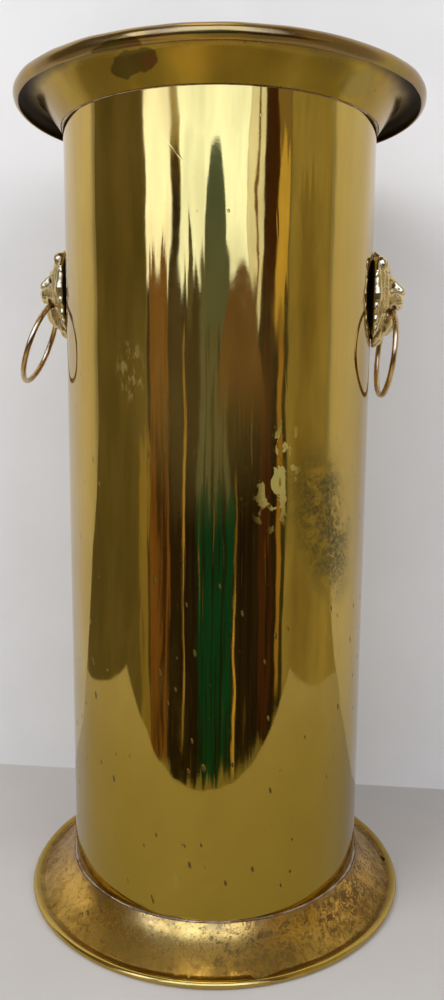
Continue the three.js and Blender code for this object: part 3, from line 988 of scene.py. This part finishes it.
def face(clay):
    clay.ball((1.5, 0, 2.5), (9.5, 12.0, 16.0), 1)
    clay.ball((5.5, 0, 9.0), (6.4, 8.6, 7.6), 1.5)
    clay.ball((10.4, 0, 1.5), (7.4, 5.8, 7.5), 1.5)
    # Heavy brows that dip towards the nose, and the furrow between them
    brow = [(10.9, 1.9, 9.9), (11.0, 4.0, 10.9), (9.6, 6.8, 11.6), (7.0, 9.2, 9.8)]
    clay.lock(brow, (1.9, 2.1, 1.8, 1.2), 1.2)
    clay.lock([(10.6, 0, 16.0), (12.4, 0, 12.6), (13.1, 0, 10.2)], (0.6, 0.7, 0.4), 1.0, carve=True)
    # Bridge of the nose: two edges with a flat between them, and the pad
    clay.lock([(9.4, 1.3, 11.6), (13.8, 1.6, 8.0), (18.0, 2.0, 4.4)], (2.0, 2.1, 1.9), 1.6)
    clay.ball((17.6, 0, 3.3), (3.1, 3.6, 2.2), 1.0, tilt=28)
    clay.ball((17.0, 3.1, 2.2), (2.2, 1.7, 1.6), 0.7)
    clay.lock([(20.3, 1.3, 1.4), (19.3, 2.5, 0.9), (18.2, 3.5, 1.6)], (0.5, 0.7, 0.45), 0.4, carve=True)
    # Eyes under the brows
    clay.ball((11.6, 4.9, 7.0), (2.6, 2.6, 1.7), 0.8, carve=True)
    clay.ball((9.1, 4.9, 6.9), (2.2, 2.2, 1.8), 0.3)
    clay.lock([(11.3, 3.1, 6.4), (11.5, 4.9, 8.6), (9.0, 7.4, 7.8)], (0.6, 0.75, 0.55), 0.5)
    clay.lock([(11.3, 3.1, 6.2), (10.9, 5.2, 5.3), (8.9, 7.3, 7.0)], (0.55, 0.7, 0.5), 0.5)
    # Cheeks
    clay.ball((6.4, 8.6, 2.2), (4.6, 4.0, 4.4), 1.4)
    clay.ball((4.8, 9.2, -7.0), (4.6, 4.4, 6.0), 1.2)
    # Muzzle: two lobes, the groove under the nose and the lines the whiskers grow from
    clay.ball((13.3, 3.8, -1.8), (6.2, 5.0, 5.0), 1.0)
    clay.ball((9.2, 6.6, -3.2), (5.2, 4.6, 5.0), 1.6)
    clay.ball((15.0, 2.2, -5.2), (4.0, 3.2, 3.2), 1.0)
    clay.lock([(21.4, 0, 1.2), (20.4, 0, -2.4), (18.9, 0, -6.8)], (0.8, 0.9, 0.8), 0.8, carve=True)
    for drop in (0.0, 1.7, 3.4):
        whiskers = [(19.0, 3.2, -0.4 - drop), (17.2, 6.2, -0.5 - drop), (14.0, 8.6, -0.2 - drop)]
        clay.lock(whiskers, (0.15, 0.5, 0.1), 0.5, carve=True)
    # Chin and lower lip
    clay.ball((10.4, 0, -15.0), (6.0, 5.6, 5.6), 1.2)
    clay.ball((8.0, 4.6, -13.6), (5.0, 4.0, 6.0), 1.4)
    clay.lock([(15.4, 0, -13.2), (14.0, 3.6, -12.6), (9.6, 7.2, -11.4)], (1.6, 1.5, 1.3), 1.0)


def forelock(clay):
    crest = [(6.8, 0, 12.5), (8.6, 0, 15.2), (7.4, 0, 19.2), (4.4, 0, 22.0)]
    clay.lock(crest, (2.2, 2.7, 2.7, 2.0), 0.8)
    side_lock = [(7.2, 3.2, 13.4), (7.9, 4.4, 16.0), (5.8, 4.4, 20.0), (3.4, 3.0, 23.2)]
    clay.lock(side_lock, (1.7, 2.3, 2.2, 1.4), 0.7)
    clay.ball((3.0, 0, 23.6), (3.3, 3.2, 3.0), 0.8)
    clay.lock([(2.2, 0, 23.6), (1.7, 0, 26.0), (1.2, 0, 27.4)], (2.2, 1.5, 0.6), 0.6)
    # Ears
    clay.ball((4.8, 9.0, 19.2), (4.5, 4.4, 4.6), 0.7)
    clay.ball((9.0, 9.9, 18.6), (2.6, 2.4, 2.9), 1.0, carve=True)


def beard(clay):
    clay.ball((3.4, 0, -20.0), (4.4, 8.0, 7.4), 1.0)
    clay.lock([(10.6, 0, -17.8), (9.4, 0, -20.4), (6.6, 0, -22.8)], (3.9, 3.0, 1.6), 0.8)
    clay.lock([(8.6, 4.0, -16.6), (7.2, 4.6, -20.4), (5.0, 3.6, -24.6)], (3.2, 2.8, 1.6), 0.7)
    clay.lock([(5.2, 1.5, -22.5), (4.0, 1.8, -26.5), (1.8, 0.9, -29.6)], (3.0, 2.6, 1.2), 0.6)
    clay.lock([(4.2, 5.8, -19.5), (3.2, 5.8, -24.0), (1.5, 4.0, -28.0)], (3.0, 2.5, 1.0), 0.6)


def lion_clay():
    clay = Clay()
    clay.ball((0, 0, 0), (4.4, 15.5, 25.0), 1)
    mane(clay)
    strands(clay)
    beard(clay)
    face(clay)
    forelock(clay)
    return clay


def mouth(clay, yaw):
    """Parts the lips, then clears the wire of a ring turned by yaw at every angle it swings to."""
    clay.ball((15.4, 0, -8.9), (4.4, 4.6, 1.5), 0.6, carve=True)
    slices, x, y, z = clay.window(CLAY_LOW, CLAY_HIGH + 1)
    cos, sin = math.cos(yaw), math.sin(yaw)
    out = (x - RING_OFFSET) * cos + y * sin
    across = y * cos - (x - RING_OFFSET) * sin
    up = z + RING_DROP + 0 * x + 0 * y
    low, high = (math.radians(a) for a in SWING)
    angle = np.arctan2(out, -up)
    angle = np.where(angle < -math.pi / 2, angle + 2 * math.pi, angle)
    held = np.clip(angle, low, high)
    from_axis = np.sqrt(out**2 + up**2)
    # The nearest angle in the swing's range, then the distance to the ring's wire at that angle
    along = from_axis * np.cos(angle - held)
    aside = from_axis * np.sin(angle - held)
    wire = np.sqrt((np.sqrt((along - RING_RADIUS) ** 2 + across**2) - RING_RADIUS) ** 2 + aside**2)
    clay.field[slices] = np.maximum(clay.field[slices], RING_WIRE + MOUTH_CLEARANCE - wire)


def lion_mesh(clay, yaw, material):
    clay = clay.copy()
    mouth(clay, yaw)
    x, y, z = clay.window(CLAY_LOW, CLAY_HIGH + 1)[1:]
    for height in SCREW_HEIGHTS:
        hole = np.sqrt(y * y + (z - height) ** 2) - (SCREW_RADIUS + GAP)
        clay.field = np.maximum(clay.field, -np.maximum(hole, x - SCREW_DEPTH - 1))
    clay.field = np.maximum(clay.field, -x + 0 * y + 0 * z)
    points, faces, cells = skin(clay.field, CLAY_LOW, clay.step)
    points = relaxed(points, faces)
    filled = ((clay.field < 0) | (x + 0 * y + 0 * z < 0)).astype(float)
    near, wide = (blurred(filled, reach)[tuple(cells.T)] - 0.5 for reach in (4, 9))
    mesh = new_mesh("lion_mask", points, faces)
    shade_points(mesh, "hollow", 1.9 * near + 1.1 * wide)
    mesh.shade_smooth()
    mesh.materials.append(material)
    return mesh


def handle_frame(side):
    """Where a handle's own origin is: on the stand's axis, level with the mask's middle."""
    pivot = Vector(JOINTS[f"{side}_ring_swing"]["pos_m"])
    return Matrix.Translation((0, 0, pivot.z + RING_DROP * MM)) @ Matrix.Rotation(SIDES[side], 4, "Z")


def lion_masks(material):
    clay = lion_clay()
    for side in SIDES:
        axis = handle_frame(side).to_3x3().inverted() @ Vector(JOINTS[f"{side}_ring_swing"]["axis"])
        mask = new_object(f"{side}_lion", lion_mesh(clay, math.atan2(axis.x, -axis.y), material))
        mask.matrix_world = handle_frame(side) @ Matrix.Translation(((TUBE_RADIUS + GAP) * MM, 0, 0))
        declare(mask, "stand", f"{side}_lion_mask")


# ---------- pull rings and fasteners ----------


def pull_rings(material):
    for seed, side in enumerate(SIDES):
        joint = JOINTS[f"{side}_ring_swing"]
        pivot = Vector(joint["pos_m"])
        axis = Vector(joint["axis"])
        outward = Vector((-axis.y, axis.x, 0))
        lean = math.radians(RING_LEAN[side])
        down = outward * math.sin(lean) + Vector((0, 0, -math.cos(lean)))
        face_out = down.cross(axis)
        centre = pivot + down * RING_RADIUS * MM
        steps, sides = 240, 24
        along = np.linspace(0, 2 * np.pi, steps, endpoint=False)
        around = np.linspace(0, 2 * np.pi, sides, endpoint=False)
        u, v = np.meshgrid(along, around, indexing="ij")
        wire = RING_WIRE + 0.035 * np.sin(7 * u + seed) * np.sin(2 * v + 3 * u)
        wire = wire - 0.05 * np.exp(-((u - np.pi) ** 2) * 30)
        bow = RING_RADIUS + 0.12 * np.sin(2 * u + 1 + seed)
        radial = bow + wire * np.cos(v) - 0.12 * np.sin(1 + seed)
        flat = (radial * np.cos(u), radial * np.sin(u), wire * np.sin(v))
        place = [np.array(d) for d in (-down, axis, face_out)]
        points = sum(f[..., None] * d for f, d in zip(flat, place)).reshape(-1, 3) + np.array(centre) / MM
        node, body = f"{side}_pull_ring", f"{side}_ring"
        make_piece(body, points, quads(steps, sides), body, node, material)


def screw_mesh(material):
    """A slotted round-head screw along X, its head towards -X and its origin under the head."""
    tip = SCREW_DEPTH + 2 * SHEET + WASHER_THICKNESS
    slopes = np.linspace(0, 1.5, 12)
    dome = [(SCREW_HEAD_RADIUS * math.sin(a), -SCREW_HEAD_HEIGHT * math.cos(a) ** 1.2) for a in slopes]
    shank = [(SCREW_HEAD_RADIUS, 0), (SCREW_RADIUS, 0)]
    threads = []
    start = WASHER_THICKNESS + SHEET
    for along in np.arange(start, tip - THREAD_PITCH, THREAD_PITCH):
        threads += [(SCREW_RADIUS, along), (SCREW_RADIUS - THREAD_DEPTH, along + THREAD_PITCH / 2)]
    profile = dome + shank + threads + [(SCREW_RADIUS - 0.6, tip), (0, tip)]
    work = bmesh.new()
    turns = 40
    rings = []
    for radius, along in profile:
        if radius < 1e-6:
            rings.append([work.verts.new((along * MM, 0, 0))])
            continue
        angles = [2 * math.pi * i / turns for i in range(turns)]
        circle = [(along * MM, radius * MM * math.cos(a), radius * MM * math.sin(a)) for a in angles]
        rings.append([work.verts.new(point) for point in circle])
    for near, far in zip(rings, rings[1:]):
        for i in range(turns):
            j = (i + 1) % turns
            corners = [near[i % len(near)], near[j % len(near)], far[j % len(far)], far[i % len(far)]]
            work.faces.new(list(dict.fromkeys(corners)))
    bmesh.ops.recalc_face_normals(work, faces=work.faces)
    mesh = bpy.data.meshes.new("mask_screw")
    work.to_mesh(mesh)
    work.free()
    return slotted(mesh, material)


def slotted(mesh, material):
    """Cuts the driver slot across the screw's head."""
    screw = bpy.data.objects.new("uncut_screw", mesh)
    bpy.ops.mesh.primitive_cube_add(size=1, location=(-SCREW_HEAD_HEIGHT * MM, 0, 0))
    cutter = bpy.context.object
    cutter.scale = (2 * SLOT_DEPTH * MM, 4 * SCREW_HEAD_RADIUS * MM, SLOT_WIDTH * MM)
    bpy.context.scene.collection.objects.link(screw)
    cutting = screw.modifiers.new("slot", "BOOLEAN")
    cutting.object = cutter
    cutting.operation = "DIFFERENCE"
    bpy.context.view_layer.update()
    cut = bpy.data.meshes.new_from_object(screw.evaluated_get(bpy.context.evaluated_depsgraph_get()))
    bpy.data.objects.remove(screw)
    bpy.data.objects.remove(cutter)
    cut.name = "mask_screw"
    cut.materials.append(material)
    cut.shade_smooth()
    cut.set_sharp_from_angle(angle=math.radians(35))
    return cut


def washer_mesh(material):
    hole, edge, thick, ease = SCREW_RADIUS + GAP, WASHER_RADIUS, WASHER_THICKNESS, 0.15
    profile = [
        (hole, ease),
        (hole + ease, 0),
        (edge - ease, 0),
        (edge, ease),
        (edge, thick - ease),
        (edge - ease, thick),
        (hole + ease, thick),
        (hole, thick - ease),
    ]
    points, faces = turn(profile, 48)
    mesh = new_mesh("mask_washer", points[:, [2, 0, 1]], faces)
    mesh.shade_smooth()
    mesh.set_sharp_from_angle(angle=math.radians(30))
    mesh.materials.append(material)
    return mesh


def mask_fasteners(material):
    meshes = {"screw": screw_mesh(material), "washer": washer_mesh(material)}
    for number, (side, turned_by) in enumerate(SIDES.items()):
        for level in ("upper", "lower"):
            for kind, mesh in meshes.items():
                node = f"{side}_{level}_{kind}"
                low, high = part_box(node)
                inner = low.x if side == "right" else -high.x
                inner += SCREW_HEAD_HEIGHT * MM if kind == "screw" else 0
                middle = (low.z + high.z) / 2
                driven = Matrix.Rotation(0.7 + 1.9 * number + (level == "lower"), 4, "X")
                seat = Matrix.Rotation(turned_by, 4, "Z") @ Matrix.Translation((inner, 0, 0)) @ driven
                piece = new_object(f"{node}_fine", mesh)
                piece.matrix_world = Matrix.Translation((0, 0, middle)) @ seat
                declare(piece, "stand", node)


# ---------- room, lights and camera ----------

SHELF_FRONT = -0.30
WALL_BACK = 0.135


def stage_plane(name, corners, material, seen_in_metal=True):
    mesh = bpy.data.meshes.new(name)
    mesh.from_pydata(corners, [], [tuple(range(len(corners)))])
    mesh.materials.append(material)
    plane = new_object(name, mesh)
    plane.visible_glossy = seen_in_metal


def pale_material(name, colour, one_sided=False):
    n = Nodes(name)
    cloud = n.noise(7.0, 3.0, 0.5)
    shade = n.blend(n.band(cloud, 0.3, 0.7), rgb(*colour), rgb(*[0.94 * c for c in colour]))
    n.feed(n.shader.inputs["Specular IOR Level"], 0.05)
    material = n.finish(shade, 0.6, 0.0)
    if one_sided:
        back = n.add("ShaderNodeNewGeometry").outputs["Backfacing"]
        clear = n.add("ShaderNodeBsdfTransparent").outputs[0]
        mix = n.add("ShaderNodeMixShader", {0: back, 1: n.shader.outputs[0], 2: clear})
        output = n.tree.nodes["Material Output"]
        n.tree.links.new(mix.outputs[0], output.inputs["Surface"])
    return material


def backdrop():
    floor = pale_material("pale_floor", (0.56, 0.54, 0.52))
    wall = pale_material("pale_wall", (0.8, 0.8, 0.8), one_sided=True)
    wide, near, far = 0.5, SHELF_FRONT, WALL_BACK
    stage_plane("shelf", [(-wide, near, 0), (wide, near, 0), (wide, far, 0), (-wide, far, 0)], floor)
    reach = 6.0
    around = {
        "floor_front": [(-reach, -reach, 0), (reach, -reach, 0), (reach, near, 0), (-reach, near, 0)],
        "floor_left": [(-reach, near, 0), (-wide, near, 0), (-wide, far, 0), (-reach, far, 0)],
        "floor_right": [(wide, near, 0), (reach, near, 0), (reach, far, 0), (wide, far, 0)],
        "floor_back": [(-reach, far, 0), (reach, far, 0), (reach, reach, 0), (-reach, reach, 0)],
    }
    for name, corners in around.items():
        stage_plane(name, corners, floor, seen_in_metal=False)
    tall = 3.0
    stage_plane("wall", [(-reach, far, 0), (reach, far, 0), (reach, far, tall), (-reach, far, tall)], wall)


# What the brass mirrors, as (low turn, high turn, low rise, high rise, softness, radiance): degrees around
# from the front towards +X and up from level. Later rows cover earlier ones, and a row from LOWEST to
# HIGHEST has no lower or upper end.
LOWEST, HIGHEST = -40, 90
ROOM_BLOCKS = [
    (-112, -47, -40, 90, 3.0, (0.178, 0.157, 0.096)),
    (-47, 58, -40, 90, 1.2, (0.033, 0.025, 0.02)),
    (58, 112, -40, 90, 3.0, (0.44, 0.395, 0.23)),
    (66, 80, -40, 12, 4.0, (0.334, 0.285, 0.154)),
    (-47, -29, 6, 46, 0.8, (2.119, 2.622, 5.376)),
    (-24, 28, 6, 54, 0.8, (1.951, 2.622, 5.504)),
    (28, 38, 4.5, 54, 0.8, (1.394, 1.653, 2.816)),
    (33, 34.2, 5, 54, 0.3, (0.279, 0.182, 0.128)),
    (-29, -24, 12, 54, 0.6, (0.557, 0.524, 0.435)),
    (-28.5, -24.5, 11.5, 14, 0.5, (0.089, 0.068, 0.051)),
    (38, 47, -24, 46, 0.6, (0.08, 0.036, 0.026)),
    (47, 57, 4, 14.5, 0.7, (0.948, 0.752, 0.307)),
    (47, 57, 14.5, 46, 0.7, (0.379, 0.296, 0.179)),
    (50.5, 54.5, -21, 4, 0.6, (0.46, 0.3, 0.11)),
    (54.5, 58, -22, 6, 0.5, (0.06, 0.06, 0.035)),
    (-52, -44, -26, -4, 0.7, (0.357, 0.296, 0.154)),
    (-44, -30, -27, 7.5, 0.7, (0.268, 0.137, 0.064)),
    (-30, -22, -10, 5.5, 0.6, (0.056, 0.04, 0.038)),
    (-22, -19.6, -25, 3, 0.3, (0.557, 0.41, 0.205)),
    (-9, 14, -8, 7.5, 1.2, (0.134, 0.171, 0.218)),
    (-9, 18, -40, -8, 1.5, (0.009, 0.085, 0.07)),
    (18.5, 20.2, -28, -6, 0.3, (0.836, 0.593, 0.256)),
]


def room():
    """The studio that the brass mirrors: dim, with tall soft windows in front, and pale to the camera."""
    world = bpy.data.worlds.new("room")
    bpy.context.scene.world = world
    world.use_nodes = True
    n = Nodes.__new__(Nodes)
    n.tree = world.node_tree
    background = n.tree.nodes["Background"]
    direction = n.add("ShaderNodeTexCoord").outputs["Generated"]
    x, y, z = n.add("ShaderNodeSeparateXYZ", {0: direction}).outputs
    true_turn = n.times(n.math("ARCTAN2", x, n.times(y, -1.0)), 180 / math.pi)
    rise = n.times(n.math("ARCSINE", z), 180 / math.pi)

    def streak(across, up, seed, detail=3.0):
        vector = n.place(n.times(true_turn, across), seed, n.times(rise, up))
        return n.noise(1.0, detail, 0.6, vector)

    sway = n.uneven(streak(0.06, 0.16, 3.0), 9.0)
    turn_angle = n.plus(true_turn, sway)
    jag = n.uneven(streak(0.42, 0.02, 14.0, 4.0), 11.0)
    ragged_rise = n.plus(rise, jag)

    def within(value, low, high, soft):
        return n.times(n.band(value, low - soft, low + soft), n.band(value, high + soft, high - soft))

    shade = rgb(0.36, 0.35, 0.32)
    for left, right, low, high, soft, radiance in ROOM_BLOCKS:
        mask = within(turn_angle, left, right, soft)
        if low > LOWEST or high < HIGHEST:
            mask = n.times(mask, within(ragged_rise, low, high, 0.5))
        shade = n.blend(mask, shade, rgb(*radiance))

    # Narrow upright things stand in front of the windows
    middle = within(turn_angle, -50, 46, 2.0)
    shadowy = n.times(n.band(streak(0.3, 0.05, 5.0), 0.52, 0.55), n.band(ragged_rise, 7, 5))
    shade = n.blend(n.times(n.times(shadowy, middle), 0.75), shade, rgb(0.02, 0.014, 0.012))
    glints = n.times(n.band(streak(0.9, 0.06, 8.0), 0.655, 0.68), n.band(ragged_rise, 7, 5))
    shade = n.blend(n.times(n.times(glints, middle), 0.7), shade, rgb(0.5, 0.33, 0.15))
    cypress = (4.6, 14.6, 8.0, (0.12, 0.19, 0.27))
    spire = (-15, 10.2, 2.4, (0.11, 0.11, 0.1))
    for at, top, width, radiance in (cypress, spire):
        across = n.times(n.minus(turn_angle, at), 1 / width)
        outline = n.plus(rise, n.times(n.times(across, across), 6.0))
        shape = n.times(n.band(outline, top + 0.2, top - 0.2), n.band(rise, 2, 4))
        shade = n.blend(shape, shade, rgb(*radiance))
    dome = n.minus(turn_angle, 23.0)
    dome = n.plus(rise, n.times(n.times(dome, dome), 0.03))
    dome = n.times(n.band(dome, 7.6, 7.2), n.band(rise, -5, 2))
    shade = n.blend(dome, shade, rgb(0.2, 0.11, 0.07))

    bowl = n.plus(turn_angle, 6.0)
    bowl = n.math("MINIMUM", n.times(n.times(bowl, bowl), 0.0009), 4.5)
    bowl = n.minus(rise, bowl)
    edge = n.uneven(streak(0.22, 0.02, 21.0, 4.0), 7.0)
    under = n.band(n.plus(bowl, edge), -26.2, -26.8)
    shade = n.blend(under, shade, rgb(0.37, 0.34, 0.25))
    pool = n.times(within(turn_angle, -34, -8, 9), n.band(rise, -25.5, -29))
    shade = n.blend(n.times(pool, under), shade, rgb(0.74, 0.66, 0.42))
    over = n.band(rise, 54, 64)
    shade = n.blend(over, shade, rgb(0.34, 0.32, 0.3))
    lamp = n.times(n.band(rise, 74, 79), within(true_turn, -110, 50, 10))
    shade = n.blend(lamp, shade, rgb(3.0, 2.9, 2.9))

    # Matt surfaces get an even, neutral light, and the camera sees a plain pale ground
    path = n.add("ShaderNodeLightPath")
    shade = n.blend(path.outputs["Is Glossy Ray"], rgb(0.62, 0.62, 0.64), shade)
    shade = n.blend(path.outputs["Is Camera Ray"], shade, rgb(0.68, 0.68, 0.68))
    n.feed(background.inputs["Color"], shade)
    patchy = n.band(streak(0.07, 0.11, 31.0, 4.0), 0.34, 0.66, 0.84, 1.1)
    n.feed(background.inputs["Strength"], n.blend_value(path.outputs["Is Glossy Ray"], 1.0, patchy))


def soft_light(name, place, target, size, power, colour):
    lamp = bpy.data.lights.new(name, "AREA")
    lamp.shape = "DISK"
    lamp.size = size
    lamp.energy = power
    lamp.color = colour
    light = new_object(name, lamp)
    light.location = place
    light.rotation_euler = (Vector(target) - Vector(place)).to_track_quat("-Z", "Y").to_euler()
    light.visible_glossy = False
    light.visible_camera = False


def lights():
    soft_light("key", (-1.3, -1.2, 1.7), (0, 0, 0.35), 1.3, 26, (1.0, 0.99, 0.975))
    soft_light("fill", (1.5, -1.5, 1.1), (0, 0, 0.3), 1.5, 15, (0.99, 0.99, 1.0))


CAMERA_TURN = math.radians(6.5)
CAMERA_DISTANCE = 0.5592
CAMERA_HEIGHT = 0.3422
CAMERA_PITCH = 0.1505
CAMERA_YAW = 0.0054
CAMERA_ROLL = 0.0075
CAMERA_LENS = 30.77
CAMERA_SHIFT = 0.0052


def camera():
    data = bpy.data.cameras.new("view")
    data.sensor_width = 36
    data.lens = CAMERA_LENS
    data.shift_y = CAMERA_SHIFT
    data.clip_start = 0.02
    eye = new_object("view", data)
    place = Matrix.Rotation(CAMERA_TURN, 4, "Z") @ Matrix.Translation((0, -CAMERA_DISTANCE, CAMERA_HEIGHT))
    level = Matrix.Rotation(math.pi / 2 - CAMERA_PITCH, 4, "X")
    aim = Matrix.Rotation(-CAMERA_YAW, 4, "Z") @ level @ Matrix.Rotation(CAMERA_ROLL, 4, "Z")
    eye.matrix_world = place @ aim
    bpy.context.scene.camera = eye


# ---------- assembly ----------

plain = plain_brass()
solder = soft_solder()
body_shell(polished_brass())
top_collar(satin_brass())
base_flange(tarnished_brass())
bottom_pan(plain)
solder_line("collar_seam", "collar_solder", TUBE_RADIUS, COLLAR_FOOT - 0.1, 1, (0.55, -0.3), 51, solder)
solder_line("foot_seam", "base_solder", TUBE_RADIUS, FOOT_TOP + 0.1, 1, (0.85, 0.5), 52, solder)
solder_line("pan_seam", "pan_solder", TUBE_RADIUS - SHEET, PAN_EDGE + 0.1, -1, (1.1, 1.2), 53, solder)
lion_masks(cast_brass())
pull_rings(bronze_wire())
mask_fasteners(plain)
rim_wire = frame["nodes"]["base_rim_wire"]
rim_wire.data.materials.clear()
rim_wire.data.materials.append(iron_wire())

backdrop()
room()
lights()
camera()
bpy.context.scene.view_settings.view_transform = "Standard"
